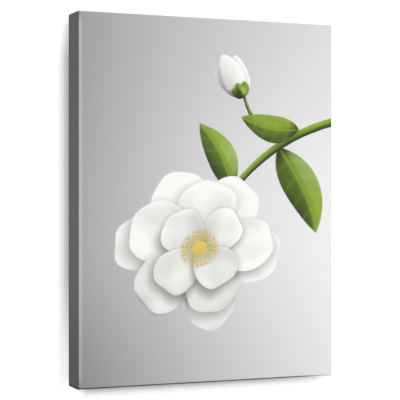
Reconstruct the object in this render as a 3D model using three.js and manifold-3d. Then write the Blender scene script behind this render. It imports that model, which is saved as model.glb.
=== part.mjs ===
// A canvas picture stretched over four mitred wooden bars, with its hanger and bumpers on the back.
// Millimetres. X runs to the right as seen from the front, Z is up, and the front faces -Y.
// The origin is the notch of the hanger that rests on the wall's nail.

import * as THREE from 'three';
import { mergeVertices } from 'three/addons/utils/BufferGeometryUtils.js';
import Module from 'manifold-3d';

const wasm = await Module();
wasm.setup();

// The picture as a whole, measured over the cloth.
const pictureWidth = 307;
const pictureHeight = 407;
const pictureDepth = 37;

// The cloth, and the round that it takes over the bars' edges.
const clothThickness = 0.6;
const clothFlange = 24;
const clothEdgeRadius = 2;
const seatGap = 0.15;

// The stretcher bars: a raised bead along the outer edge, and a face that slopes back from it.
const barWidth = 38;
const beadWidth = 6;
const beadHeight = 4;
const barEdgeRadius = 1.2;
const mitreGap = 0.2;

// A staple is one bent flat wire. Its holes are a little wider than the wire.
const stapleWidth = 10;
const stapleWire = 0.7;
const stapleWireBreadth = 1.2;
const stapleLeg = 6;
const stapleHoleGap = 0.25;
const stapleInset = 12;
const staplePitch = { across: 42, upright: 44 };
const stapleCount = { across: 7, upright: 9 };

// The sawtooth hanger, its raised middle and its teeth.
const hangerLength = 45;
const hangerHeight = 10;
const hangerSheet = 0.8;
const hangerRaise = 2;
const hangerRaisedLength = 22;
const hangerRampLength = 3;
const toothCount = 7;
const toothPitch = 2.6;
const toothDepth = 1.8;

// The hanger's nails.
const nailInset = 4.5;
const nailRadius = 0.7;
const nailLength = 9;
const nailHeadRadius = 1.8;
const nailHeadHeight = 0.6;
const nailSides = 12;
const nailHoleGap = 0.3;

// The soft bumpers at the lower back corners.
const bumperRadius = 6;
const bumperHeight = 3;
const bumperEdgeRadius = 0.8;
const bumperInset = 14;
const bumperSides = 32;

const roundSegments = 4;

// The levels of the back: of the bars' wood, and of the cloth that is folded over it.
const woodFront = clothThickness + seatGap;
const woodBack = pictureDepth - clothThickness - seatGap;
const woodOffset = clothThickness + seatGap;

const clothMaterial = new THREE.MeshStandardMaterial({ color: 0xd4d5d6, roughness: 0.85, metalness: 0 });
const woodMaterial = new THREE.MeshStandardMaterial({ color: 0xd9b98a, roughness: 0.7, metalness: 0 });
const stapleMaterial = new THREE.MeshStandardMaterial({ color: 0xb9bcc0, roughness: 0.35, metalness: 1 });
const hangerMaterial = new THREE.MeshStandardMaterial({ color: 0xc2b280, roughness: 0.4, metalness: 1 });
const bumperMaterial = new THREE.MeshStandardMaterial({ color: 0x2b2b2d, roughness: 0.9, metalness: 0 });

// A closed geometry with merged corners, as a solid that can be cut.
function solidOf(geometry) {
  const bare = geometry.clone();
  bare.deleteAttribute('normal');
  bare.deleteAttribute('uv');
  const merged = mergeVertices(bare, 1e-4);
  const corners = new Float32Array(merged.attributes.position.array);
  const triangles = new Uint32Array(merged.index.array);
  return new wasm.Manifold(new wasm.Mesh({ numProp: 3, vertProperties: corners, triVerts: triangles }));
}

// A cut solid as a geometry again.
function geometryOf(solid) {
  const mesh = solid.getMesh();
  const geometry = new THREE.BufferGeometry();
  geometry.setAttribute('position', new THREE.BufferAttribute(new Float32Array(mesh.vertProperties), 3));
  geometry.setIndex(new THREE.BufferAttribute(new Uint32Array(mesh.triVerts), 1));
  geometry.computeVertexNormals();
  return geometry;
}

function cut(geometry, tools) {
  let solid = solidOf(geometry);
  for (const tool of tools) {
    solid = solid.subtract(solidOf(tool));
  }
  return geometryOf(solid);
}

// A rectangle with four round corners, centred on x, from y = low to y = high.
function roundedRectangle(width, low, high, radius) {
  const half = width / 2;
  const quarter = Math.PI / 2;
  const shape = new THREE.Shape();
  shape.moveTo(half, low + radius);
  shape.lineTo(half, high - radius);
  shape.absarc(half - radius, high - radius, radius, 0, quarter);
  shape.absarc(radius - half, high - radius, radius, quarter, 2 * quarter);
  shape.absarc(radius - half, low + radius, radius, 2 * quarter, 3 * quarter);
  shape.absarc(half - radius, low + radius, radius, 3 * quarter, 4 * quarter);
  return shape;
}

// A block whose four front and four back edges are round: a wide prism crossed with a tall one.
function softBlock(width, height, low, high, radius) {
  const options = { steps: 1, bevelEnabled: false, curveSegments: roundSegments };
  const upright = new THREE.ExtrudeGeometry(
    roundedRectangle(width, low, high, radius),
    { ...options, depth: height }
  );
  upright.translate(0, 0, -height / 2);
  const across = new THREE.ExtrudeGeometry(
    roundedRectangle(height, low, high, radius),
    { ...options, depth: width }
  );
  across.translate(0, 0, -width / 2);
  across.rotateY(Math.PI / 2);
  return solidOf(upright).intersect(solidOf(across));
}

// The cloth is a thin tray: front, four sides, and a flange over the bars' back.
function makeCanvas(holes) {
  const outside = softBlock(pictureWidth, pictureHeight, 0, pictureDepth, clothEdgeRadius);
  const inside = softBlock(
    pictureWidth - 2 * clothThickness,
    pictureHeight - 2 * clothThickness,
    clothThickness,
    pictureDepth - clothThickness,
    clothEdgeRadius - clothThickness
  );
  const window = new THREE.BoxGeometry(
    pictureWidth - 2 * clothFlange,
    2 * clothFlange,
    pictureHeight - 2 * clothFlange
  );
  window.translate(0, pictureDepth, 0);
  let tray = outside.subtract(inside).subtract(solidOf(window));
  for (const hole of holes) {
    tray = tray.subtract(solidOf(hole));
  }
  return geometryOf(tray);
}

// The section of a bar: x runs inwards from its outer face, y from the front to the back.
function barSection() {
  const outerRadius = clothEdgeRadius - clothThickness;
  const quarter = Math.PI / 2;
  const shape = new THREE.Shape();
  shape.moveTo(outerRadius, woodFront);
  shape.lineTo(beadWidth, woodFront);
  shape.lineTo(barWidth, woodFront + beadHeight);
  shape.lineTo(barWidth, woodBack - barEdgeRadius);
  shape.absarc(barWidth - barEdgeRadius, woodBack - barEdgeRadius, barEdgeRadius, 0, quarter);
  shape.lineTo(outerRadius, woodBack);
  shape.absarc(outerRadius, woodBack - outerRadius, outerRadius, quarter, 2 * quarter);
  shape.lineTo(0, woodFront + outerRadius);
  shape.absarc(outerRadius, woodFront + outerRadius, outerRadius, 2 * quarter, 3 * quarter);
  return shape;
}

// A bar along X with its outer face up. Each end is drawn in by the distance from the outer face,
// which turns the square end into a mitre.
function mitredBar(length, reach) {
  const halfLength = length / 2 - woodOffset;
  const halfReach = reach / 2 - woodOffset;
  const geometry = new THREE.ExtrudeGeometry(
    barSection(),
    { steps: 1, depth: 1, bevelEnabled: false, curveSegments: roundSegments }
  );
  const corners = geometry.attributes.position;
  for (let i = 0; i < corners.count; i += 1) {
    const inward = corners.getX(i);
    const side = corners.getZ(i) > 0.5 ? 1 : -1;
    corners.setXYZ(i, side * (halfLength - inward - mitreGap), corners.getY(i), halfReach - inward);
  }
  return geometry;
}

// A staple's wire: a crown on y = 0 upwards and two legs down into the wood.
function stapleGeometry() {
  const half = stapleWidth / 2;
  const shape = new THREE.Shape();
  shape.moveTo(-half, -stapleLeg);
  shape.lineTo(stapleWire - half, -stapleLeg);
  shape.lineTo(stapleWire - half, 0);
  shape.lineTo(half - stapleWire, 0);
  shape.lineTo(half - stapleWire, -stapleLeg);
  shape.lineTo(half, -stapleLeg);
  shape.lineTo(half, stapleWire);
  shape.lineTo(-half, stapleWire);
  const geometry = new THREE.ExtrudeGeometry(shape, { depth: stapleWireBreadth, bevelEnabled: false });
  geometry.translate(0, 0, -stapleWireBreadth / 2);
  return geometry;
}

// The two holes of a staple, in the staple's own place.
function stapleHoles(mesh) {
  mesh.updateMatrix();
  return [-1, 1].map((side) => {
    const hole = new THREE.BoxGeometry(
      stapleWire + 2 * stapleHoleGap,
      stapleLeg + 2 * seatGap + stapleHoleGap,
      stapleWireBreadth + 2 * stapleHoleGap
    );
    const depth = (stapleLeg + stapleHoleGap - 2 * seatGap) / 2;
    hole.translate(side * (stapleWidth - stapleWire) / 2, -depth, 0);
    hole.applyMatrix4(mesh.matrix);
    return hole;
  });
}

function makeStaple(name, x, y, z, turn) {
  const mesh = new THREE.Mesh(stapleGeometry(), stapleMaterial);
  mesh.name = name;
  mesh.position.set(x, y, z);
  mesh.rotation.y = turn;
  return mesh;
}

// Even steps centred on zero.
function evenSteps(count, pitch) {
  return Array.from({ length: count }, (_, i) => (i - (count - 1) / 2) * pitch);
}

// The staples of the cloth's flange, in one row along each bar.
function clothStaples() {
  const seat = pictureDepth + seatGap;
  const row = { top: [], bottom: [], left: [], right: [] };
  const high = pictureHeight / 2 - stapleInset;
  const wide = pictureWidth / 2 - stapleInset;
  evenSteps(stapleCount.across, staplePitch.across).forEach((x, i) => {
    row.top.push(makeStaple(`canvas_staple_top_${i + 1}`, x, seat, high, 0));
    row.bottom.push(makeStaple(`canvas_staple_bottom_${i + 1}`, x, seat, -high, 0));
  });
  evenSteps(stapleCount.upright, staplePitch.upright).forEach((z, i) => {
    row.left.push(makeStaple(`canvas_staple_left_${i + 1}`, -wide, seat, z, Math.PI / 2));
    row.right.push(makeStaple(`canvas_staple_right_${i + 1}`, wide, seat, z, Math.PI / 2));
  });
  return row;
}

// One staple across each mitre, on the bare wood inside the cloth's flange.
function mitreStaples() {
  const inset = (clothFlange + barWidth + woodOffset) / 2;
  const staples = [];
  for (const [upright, up] of [['top', 1], ['bottom', -1]]) {
    for (const [across, right] of [['left', -1], ['right', 1]]) {
      const x = right * (pictureWidth / 2 - inset);
      const z = up * (pictureHeight / 2 - inset);
      const turn = up * right * Math.PI / 4;
      staples.push(makeStaple(`mitre_staple_${upright}_${across}`, x, woodBack + seatGap, z, turn));
    }
  }
  return staples;
}

// The middle of the hanger's height, on the bare wood of the top bar.
const hangerMiddle = pictureHeight / 2 - (clothFlange + barWidth + woodOffset) / 2;
const hangerSeat = woodBack + seatGap;

// The hanger's strip seen from above: flat ends, two ramps and a raised middle.
function hangerStrip() {
  const half = hangerLength / 2;
  const raisedHalf = hangerRaisedLength / 2;
  const rampFoot = raisedHalf + hangerRampLength;
  const line = [[-half, 0], [-rampFoot, 0], [-raisedHalf, hangerRaise]];
  const mirrored = line.map(([x, y]) => [-x, y]).reverse();
  const inner = [...line, ...mirrored];
  const outer = inner.map(([x, y]) => [x, y + hangerSheet]).reverse();
  const shape = new THREE.Shape([...inner, ...outer].map(([x, y]) => new THREE.Vector2(x, y)));
  const geometry = new THREE.ExtrudeGeometry(shape, { depth: hangerHeight, bevelEnabled: false });
  geometry.translate(0, hangerSeat, hangerMiddle - hangerHeight / 2);
  return geometry;
}

// One notch between two teeth of the hanger's lower edge, a wedge that points up.
function hangerNotch(x) {
  const lowerEdge = hangerMiddle - hangerHeight / 2;
  const overcut = 0.5;
  const half = toothPitch / 2;
  const slope = half / toothDepth;
  const shape = new THREE.Shape();
  shape.moveTo(x - half - overcut * slope, -overcut);
  shape.lineTo(x + half + overcut * slope, -overcut);
  shape.lineTo(x, toothDepth);
  const depth = hangerRaise + 2 * hangerSheet;
  const geometry = new THREE.ExtrudeGeometry(shape, { depth, bevelEnabled: false });
  geometry.rotateX(Math.PI / 2);
  geometry.translate(0, hangerSeat + depth, lowerEdge);
  return geometry;
}

function makeHanger(nailHoles) {
  const notches = evenSteps(toothCount, toothPitch).map(hangerNotch);
  return cut(hangerStrip(), [...notches, ...nailHoles]);
}

// A nail turned about its own axis, with its head outwards.
function nailGeometry() {
  const profile = [
    [0, -nailLength],
    [nailRadius, nailRadius - nailLength],
    [nailRadius, 0],
    [nailHeadRadius, 0],
    [nailHeadRadius, nailHeadHeight / 2],
    [nailHeadRadius - nailHeadHeight / 2, nailHeadHeight],
    [0, nailHeadHeight]
  ];
  return new THREE.LatheGeometry(profile.map(([r, y]) => new THREE.Vector2(r, y)), nailSides);
}

function nailHole(x) {
  const length = nailLength + 2 * hangerSheet;
  const hole = new THREE.CylinderGeometry(
    nailRadius + nailHoleGap,
    nailRadius + nailHoleGap,
    length,
    nailSides
  );
  hole.translate(x, hangerSeat + 2 * hangerSheet - length / 2, hangerMiddle);
  return hole;
}

function makeNail(name, x) {
  const mesh = new THREE.Mesh(nailGeometry(), stapleMaterial);
  mesh.name = name;
  mesh.position.set(x, hangerSeat + hangerSheet + seatGap, hangerMiddle);
  return mesh;
}

// A bumper: a low disc with a round edge, stuck on the cloth's flange.
function bumperGeometry() {
  const steps = 3;
  const profile = [new THREE.Vector2(0, 0), new THREE.Vector2(bumperRadius, 0)];
  for (let i = 0; i <= steps; i += 1) {
    const turn = (i / steps) * (Math.PI / 2);
    profile.push(new THREE.Vector2(
      bumperRadius - bumperEdgeRadius * (1 - Math.cos(turn)),
      bumperHeight - bumperEdgeRadius * (1 - Math.sin(turn))
    ));
  }
  profile.push(new THREE.Vector2(0, bumperHeight));
  return new THREE.LatheGeometry(profile, bumperSides);
}

function makeBumper(name, side) {
  const mesh = new THREE.Mesh(bumperGeometry(), bumperMaterial);
  mesh.name = name;
  mesh.position.set(
    side * (pictureWidth / 2 - bumperInset),
    pictureDepth + seatGap,
    bumperInset - pictureHeight / 2
  );
  return mesh;
}

function named(name, geometry, material) {
  const mesh = new THREE.Mesh(geometry, material);
  mesh.name = name;
  return mesh;
}

// The bars, each turned from the top bar's place, with the holes that fall in it.
function stretcherBar(name, quarterTurns, length, reach, holes) {
  const bar = mitredBar(length, reach);
  bar.rotateY(quarterTurns * Math.PI / 2);
  return named(name, cut(bar, holes), woodMaterial);
}

const staples = clothStaples();
const mitres = mitreStaples();
const nailPlace = hangerLength / 2 - nailInset;
const nailHoles = [nailHole(-nailPlace), nailHole(nailPlace)];
const holesOf = (list) => list.flatMap(stapleHoles);
const mitreHoles = holesOf(mitres);
const allClothStaples = Object.values(staples).flat();

const picture = new THREE.Group();
picture.add(named('canvas', makeCanvas(holesOf(allClothStaples)), clothMaterial));
picture.add(stretcherBar(
  'stretcher_bar_top', 0, pictureWidth, pictureHeight,
  [...holesOf(staples.top), ...mitreHoles, ...nailHoles]
));
picture.add(stretcherBar(
  'stretcher_bar_right', 1, pictureHeight, pictureWidth,
  [...holesOf(staples.right), ...mitreHoles]
));
picture.add(stretcherBar(
  'stretcher_bar_bottom', 2, pictureWidth, pictureHeight,
  [...holesOf(staples.bottom), ...mitreHoles]
));
picture.add(stretcherBar(
  'stretcher_bar_left', 3, pictureHeight, pictureWidth,
  [...holesOf(staples.left), ...mitreHoles]
));
picture.add(...allClothStaples);
picture.add(...mitres);
picture.add(named('sawtooth_hanger', makeHanger(nailHoles), hangerMaterial));
picture.add(makeNail('hanger_nail_left', -nailPlace));
picture.add(makeNail('hanger_nail_right', nailPlace));
picture.add(makeBumper('bumper_left', -1));
picture.add(makeBumper('bumper_right', 1));

// The middle notch rests on the wall's nail, so it goes to the origin.
const notchDepth = hangerSeat + hangerRaise + hangerSheet / 2;
const notchHeight = hangerMiddle - hangerHeight / 2 + toothDepth;
picture.position.set(0, -notchDepth, -notchHeight);

const group = new THREE.Group();
group.add(picture);

export default group;
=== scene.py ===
import math

import bmesh
import bpy
import numpy as np
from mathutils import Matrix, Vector


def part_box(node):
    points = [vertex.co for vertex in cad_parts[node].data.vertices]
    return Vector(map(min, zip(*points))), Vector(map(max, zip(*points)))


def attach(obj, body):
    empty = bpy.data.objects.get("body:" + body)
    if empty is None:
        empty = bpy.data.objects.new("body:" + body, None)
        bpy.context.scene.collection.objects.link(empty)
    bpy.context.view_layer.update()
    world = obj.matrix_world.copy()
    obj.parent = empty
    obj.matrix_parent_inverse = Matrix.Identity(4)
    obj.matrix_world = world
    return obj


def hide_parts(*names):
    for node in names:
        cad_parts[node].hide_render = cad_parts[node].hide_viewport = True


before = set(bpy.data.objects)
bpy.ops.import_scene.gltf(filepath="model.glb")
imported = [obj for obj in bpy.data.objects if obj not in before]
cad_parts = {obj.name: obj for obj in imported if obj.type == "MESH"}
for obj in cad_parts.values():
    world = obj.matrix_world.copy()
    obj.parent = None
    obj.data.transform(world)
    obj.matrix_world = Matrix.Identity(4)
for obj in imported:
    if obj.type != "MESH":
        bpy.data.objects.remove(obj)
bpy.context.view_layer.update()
print("frame loaded with", len(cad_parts), "nodes")

# The picture's own measures, all from the cloth's box
clothLow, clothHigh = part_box("canvas")
pictureWide = clothHigh.x - clothLow.x
pictureTall = clothHigh.z - clothLow.z
pictureDeep = clothHigh.y - clothLow.y
frontY = clothLow.y
backY = clothHigh.y
middleZ = (clothHigh.z + clothLow.z) / 2
halfWide = pictureWide / 2
halfTall = pictureTall / 2

origin = (0, 0, 0)
black = (0, 0, 0, 1)
plainWhite = (1, 1, 1, 1)


# Small helpers for node trees

def addNode(beside, kind, **settings):
    # Adds a node to the tree that another node, a socket or the tree itself is in.
    made = beside.id_data.nodes.new(kind)
    for key, value in settings.items():
        setattr(made, key, value)
    return made


def isSocket(value):
    return isinstance(value, bpy.types.NodeSocket)


def feed(socket, value):
    if isSocket(value):
        socket.id_data.links.new(value, socket)
    else:
        socket.default_value = value


def feedAll(node, values):
    for label, value in values.items():
        feed(node.inputs[label], value)


def addFed(kind, values, **settings):
    # Adds a node beside the first socket among the values and feeds it with them, by place or by name.
    if not isinstance(values, dict):
        values = dict(enumerate(values))
    made = addNode(next(filter(isSocket, values.values())), kind, **settings)
    feedAll(made, values)
    return made.outputs


def calc(operation, *values):
    return addFed("ShaderNodeMath", values, operation=operation)[0]


def plus(first, second):
    return calc("ADD", first, second)


def minus(first, second):
    return calc("SUBTRACT", first, second)


def times(first, second):
    return calc("MULTIPLY", first, second)


def timesPlus(first, second, third):
    return calc("MULTIPLY_ADD", first, second, third)


def held(value):
    # Keeps a value between 0 and 1.
    return calc("MINIMUM", calc("MAXIMUM", value, 0.0), 1.0)


def smooth(value, low, high, start=0.0, end=1.0):
    # A smooth ramp: start up to the value low, and end from the value high on.
    ramp = {"interpolation_type": "SMOOTHSTEP", "clamp": False}
    return addFed("ShaderNodeMapRange", (value, low, high, start, end), **ramp)[0]


def window(value, first, second):
    # Where a value has passed both of two ramps.
    return times(smooth(value, *first), smooth(value, *second))


def calcVector(operation, *values):
    made = addFed("ShaderNodeVectorMath", values, operation=operation)
    return made["Value" if operation in ("LENGTH", "DOT_PRODUCT") else "Vector"]


def splitVector(vector):
    return addFed("ShaderNodeSeparateXYZ", (vector,))[:]


def flatParts(place):
    x = calcVector("DOT_PRODUCT", place, (1, 0, 0))
    return x, calcVector("DOT_PRODUCT", place, (0, 1, 0))


def joinVector(x, y, z=0.0):
    return addFed("ShaderNodeCombineXYZ", (x, y, z))[0]


def flatLength(x, y):
    return calcVector("LENGTH", joinVector(x, y))


def joinColour(red, green, blue):
    return addFed("ShaderNodeCombineColor", (red, green, blue))[0]


def mixColour(share, first, second):
    return addFed("ShaderNodeMix", {0: share, 6: first, 7: second}, data_type="RGBA")[2]


def mixValue(share, first, second):
    return addFed("ShaderNodeMix", {0: share, 2: first, 3: second})[0]


def darken(share, colour):
    return mixColour(share, colour, black)


def noise(place, scale, detail=2.0, rough=0.5):
    return addFed("ShaderNodeTexNoise", {
        "Vector": place, "Scale": scale, "Detail": detail, "Roughness": rough,
    })[0]


def stretchedNoise(place, scales, detail=2.0, rough=0.5):
    return noise(calcVector("MULTIPLY", place, scales), 1.0, detail, rough)


def lineNoise(place, scale, detail=2.0):
    values = {"W": place, "Scale": scale, "Detail": detail}
    return addFed("ShaderNodeTexNoise", values, noise_dimensions="1D")[0]


def cells(place, scale, dimensions="2D"):
    # How far each spot is from the nearest of many scattered points.
    values = {"Vector": place, "Scale": scale}
    return addFed("ShaderNodeTexVoronoi", values, voronoi_dimensions=dimensions)["Distance"]


def swells(x, z, pitch, shift):
    # Slow rises and dips between -1 and 1: the product of two sines, one a quarter longer than the other.
    first = calc("SINE", plus(times(x, 2 * math.pi / pitch), shift))
    second = calc("SINE", plus(times(z, 1.6 * math.pi / pitch), shift))
    return times(first, second)


def newGroup(name, inputs, outputs):
    # An input's kind follows from its start value, and an output is a value unless it is the Colour.
    kinds = {1: "NodeSocketFloat", 3: "NodeSocketVector", 4: "NodeSocketColor"}
    group = bpy.data.node_groups.new(name, "ShaderNodeTree")
    for label, start in inputs.items():
        kind = kinds[np.size(start)]
        socket = group.interface.new_socket(name=label, in_out="INPUT", socket_type=kind)
        socket.default_value = start
    for label in outputs:
        kind = kinds[4 if label == "Colour" else 1]
        group.interface.new_socket(name=label, in_out="OUTPUT", socket_type=kind)
    given = group.nodes.new("NodeGroupInput").outputs
    result = group.nodes.new("NodeGroupOutput").inputs
    return group, given, result


def useGroup(group, values):
    return addFed("ShaderNodeGroup", values, node_tree=group)


def newMaterial(name, values):
    material = bpy.data.materials.new(name)
    material.use_nodes = True
    shader = material.node_tree.nodes["Principled BSDF"]
    feedAll(shader, values)
    return material, shader


def addBump(shader, height, strength, distance):
    bump = addFed("ShaderNodeBump", {"Height": height, "Strength": strength, "Distance": distance})
    feed(shader.inputs["Normal"], bump[0])


def objectPlace(shader):
    return addNode(shader, "ShaderNodeTexCoord").outputs["Object"]


# The print: a generic white blossom on a green twig, before a grey studio backdrop.
# Lengths are in metres on the front, measured from its middle, and turns are in degrees from its right.
# A backdrop's tone is its value at the left edge, its growth to the right and its bend.
printDesign = {
    "lightTurn": math.radians(40),
    "tipLight": 0.14,            # how much brighter each petal and leaf is at its tip
    "backdrop": {
        "tone": (0.385, 0.61, -0.14),
        "top": (0.45, 1.05), "topTone": (0.852, -0.04625, 0.0),       # where it fades upwards, and to what
        "bottom": (0.40, -0.04), "bottomTone": (0.675, 0.36, -0.12),  # and downwards
        "swell": (0.33, 0.010),  # pitch and strength of its slow unevenness
        "green": 0.996, "cool": 0.012, "coolEdge": 0.001,
    },
    "sideTwig": {
        "Foot": (0.0925, 0.066, 0), "Head": (0.042, 0.117, 0), "Bow": 0.010,
        "Wide": 0.0034, "Narrow": 0.0022,
    },
    "twig": {
        "Foot": (0.168, 0.094, 0), "Head": (-0.006, -0.040, 0), "Bow": -0.026,
        "Wide": 0.0056, "Narrow": 0.0036,
    },
    # Each leaf: foot, turn, length, half width, seed and bow. The last one lies over the twigs.
    "leaves": (
        ((0.091, 0.064), -64, 0.112, 0.023, 3.0, 0.16),
        ((0.032, 0.014), 118, 0.086, 0.018, 8.0, -0.14),
        ((0.112, 0.0755), 170, 0.076, 0.016, 5.0, 0.15),
    ),
    "leafShape": {"drop": 0.004, "cup": 0.55, "bend": 0.10, "tone": 0.52, "egg": 0.22, "apart": 0.75},
    "leafFinish": {"Ripple": 0.02, "Waves": 0.10, "Veins": 0.10, "Shadow": 0.5, "Reach": -0.55},
    # Each petal of the bud: turn, length, half width and seed. Each scale of its cup: turn and seed.
    "budPetals": ((140, 0.047, 0.012, 2.0), (104, 0.048, 0.012, 4.0), (122, 0.054, 0.0145, 6.0)),
    "budShape": {"drop": 0.003, "cup": 0.46, "bend": 0.12, "tone": 0.74, "apart": 0.28, "egg": 0.10},
    "budFinish": {"Ripple": 0.03, "Waves": 0.05, "Veins": 0.14, "Shadow": 0.5, "Reach": -0.25},
    "budScales": ((156, 1.0), (88, 7.0), (121, 9.0)),
    "budScale": {"length": 0.018, "width": 0.0058, "apart": 0.5},
    "blossom": {"centre": (-0.013, -0.054), "lean": math.radians(28), "squash": 0.86, "heart": 0.0100},
    # Each ring: how many petals, the first one's turn, length, half width, tone and the shadow it throws.
    "rings": (
        (6, 22, 0.103, 0.034, 0.84, 0.45),
        (5, 50, 0.090, 0.035, 0.77, 0.50),
        (4, 12, 0.060, 0.026, 0.72, 0.58),
    ),
    # No two petals are alike: by how much they differ, and how that changes from each to the next.
    "uneven": {
        "turn": 5, "length": 0.06, "width": 0.07, "tone": 0.05,
        "swayStep": 7.3, "stretchStep": 4.1, "seedStep": 2.3,
    },
    "petalShape": {"drop": 0.006, "cup": -0.20, "bend": 0.18, "egg": -0.26},
    "petalFinish": {"Ripple": 0.045, "Waves": 0.10, "Veins": 0.10, "Reach": -0.25},
    "white": {
        "Light": (0.93, 0.93, 0.90, 1), "Shade": (0.36, 0.375, 0.36, 1), "Throat": (0.58, 0.64, 0.20, 1),
    },
    "green": {"Light": (0.27, 0.41, 0.035, 1), "Shade": (0.014, 0.035, 0.003, 1)},
    "gloss": (0.62, 0.72, 0.40, 1),
    "yellow": {
        "Light": (0.90, 0.62, 0.045, 1), "Shade": (0.36, 0.20, 0.008, 1), "Pale": (0.80, 0.76, 0.34, 1),
    },
}
# How a petal or leaf is drawn, in its own units. A ramp is from, to and then its first and last value.
lobeDrawing = {
    "waveAcross": 4.4, "waveAlong": 3.2,
    "edge": (0.0, 0.035),
    "thrown": (-0.30, 0.22), "close": (-0.12, 0.02, 0.0, 0.3),  # the shadow it throws, far and near
    "streaks": 14.0, "fanFoot": 1.9, "seedStep": 3.7,
    "rim": (0.24, 0.0, 0.0, 0.17),
    "halves": (-0.16, 0.16, -0.55, 0.55), "round": 0.3,         # a leaf's two halves, tilted to the rib
    "veins": 17.0, "veinSlant": -7.0, "veinPower": 9.0, "veinLight": 0.10,
    "glossLight": (0.22, 0.42), "glossAlong": (0.8, -0.2), "glossWave": 0.14, "gloss": 0.16,
    "rib": (0.055, 0.0, 0.0, 0.5),
}


def makeLobeGroup(name, isLeaf):
    # One petal or leaf, laid over what is under it. On it u runs from -1 at the foot to 1 at the tip, and v
    # from -1 to 1 from edge to edge. Its outline is where two equal circles overlap, more pointed the
    # farther their middles are apart: the edge value is the radius less the length of (u, |v| + apart).
    look = lobeDrawing
    group, given, result = newGroup(name, {
        "Under": black, "Cover": 0, "Place": origin, "Middle": origin, "Along": (1, 0, 0),
        "Across": (0, 1, 0), "Egg": 0, "Apart": 0, "Radius": 1, "Ripple": 0.05, "Seed": 0, "Bow": 0,
        "Light along": 0, "Light across": 0, "Drop along": 0, "Drop across": 0, "Cup": 0.3, "Bend": 0.3,
        "Tone": 0.7, "Waves": 0.1, "Veins": 0.1, "Shadow": 0.4, "Reach": -0.4, "Light": black,
        "Shade": black, "Throat": black,
    }, ("Colour", "Cover"))
    offset = calcVector("SUBTRACT", given["Place"], given["Middle"])
    u = calcVector("DOT_PRODUCT", offset, given["Along"])
    v = calcVector("DOT_PRODUCT", offset, given["Across"])
    waveAlong = calc("SINE", timesPlus(v, look["waveAcross"], given["Seed"]))
    waveAcross = calc("SINE", timesPlus(u, look["waveAlong"], given["Seed"]))
    u = timesPlus(waveAlong, given["Ripple"], u)
    v = timesPlus(waveAcross, given["Ripple"], v)
    if isLeaf:
        v = timesPlus(times(u, u), given["Bow"], v)
    cross = times(v, timesPlus(u, given["Egg"], 1.0))

    def edgeAt(u, cross):
        wide = plus(calc("ABSOLUTE", cross), given["Apart"])
        square = timesPlus(wide, wide, times(u, u))
        return minus(given["Radius"], calc("SQRT", square))

    edge = edgeAt(u, cross)
    mask = smooth(edge, *look["edge"])

    # What lies under is darker close round the edge, and farther on the side away from the light. The
    # backdrop is far behind, so it takes no shadow.
    thrown = edgeAt(plus(u, given["Drop along"]), plus(cross, given["Drop across"]))
    halo = calc("MAXIMUM", smooth(thrown, *look["thrown"]), smooth(edge, *look["close"]))
    halo = times(halo, times(given["Shadow"], given["Cover"]))
    under = darken(halo, given["Under"])

    # How much of the printed light each spot takes: by its cup, its bend, its slow waves and its streaks.
    form = cross
    if isLeaf:
        form = timesPlus(cross, look["round"], smooth(cross, *look["halves"]))
    tone = timesPlus(u, given["Bend"], given["Tone"])
    tone = timesPlus(form, given["Cup"], tone)
    tone = timesPlus(times(waveAlong, waveAcross), given["Waves"], tone)
    fan = calc("DIVIDE", v, plus(u, look["fanFoot"]))
    fan = timesPlus(given["Seed"], look["seedStep"], fan)
    tone = timesPlus(minus(lineNoise(fan, look["streaks"]), 0.5), given["Veins"], tone)
    facing = timesPlus(u, given["Light along"], times(cross, given["Light across"]))
    tone = timesPlus(smooth(edge, *look["rim"]), facing, tone)
    if isLeaf:
        slant = times(u, look["veins"])
        slant = timesPlus(calc("ABSOLUTE", cross), look["veinSlant"], slant)
        furrow = timesPlus(calc("SINE", slant), 0.5, 0.5)
        tone = timesPlus(calc("POWER", furrow, look["veinPower"]), look["veinLight"], tone)
    lobe = mixColour(tone, given["Shade"], given["Light"])
    lobe = mixColour(smooth(u, given["Reach"], -1.0), lobe, given["Throat"])
    if isLeaf:
        lit = smooth(times(form, given["Cup"]), *look["glossLight"])
        gloss = times(lit, smooth(u, *look["glossAlong"]))
        gloss = times(gloss, timesPlus(waveAcross, look["glossWave"], look["gloss"]))
        lobe = mixColour(gloss, lobe, printDesign["gloss"])
        rib = smooth(calc("ABSOLUTE", v), *look["rib"])
        lobe = mixColour(rib, lobe, given["Light"])
    feed(result["Colour"], mixColour(mask, under, lobe))
    feed(result["Cover"], calc("MAXIMUM", mask, given["Cover"]))
    return group


def lobeValues(foot, turn, length, width, seed, drop, cup, bend, tone, apart=0.0, egg=0.0):
    # Turns a lobe's foot, turn, length and half width into the values its group works with.
    turn = math.radians(turn)
    across = (-math.sin(turn), math.cos(turn))
    ahead = (math.cos(turn), math.sin(turn))
    radius = math.hypot(1.0, apart)
    lightAlong = math.cos(printDesign["lightTurn"] - turn)
    lightAcross = math.sin(printDesign["lightTurn"] - turn)
    narrow = (radius - apart) / width
    return {
        "Middle": (foot[0] + ahead[0] * length / 2, foot[1] + ahead[1] * length / 2, 0),
        "Along": (ahead[0] * 2 / length, ahead[1] * 2 / length, 0),
        "Across": (across[0] * narrow, across[1] * narrow, 0),
        "Egg": egg, "Apart": apart, "Radius": radius, "Seed": seed,
        "Light along": lightAlong, "Light across": lightAcross,
        "Drop along": drop * lightAlong * 2 / length, "Drop across": drop * lightAcross * narrow,
        "Cup": cup * lightAcross, "Bend": bend * lightAlong + printDesign["tipLight"], "Tone": tone,
    }


# How a twig is drawn, in shares of its length and of its half width
twigDrawing = {
    "edge": (1.0, 0.88), "shadow": (2.6, 0.9, 0.0, 0.4),
    "endCut": 40.0,              # how squarely its ends are cut
    "knobs": 9.0, "knobSize": 0.3, "slimmest": 0.85,
    "winding": 14.0, "windingWidth": 0.8, "streaks": 4.0, "streakTone": 0.5,
    "round": (0.85, -0.75),
}


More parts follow.
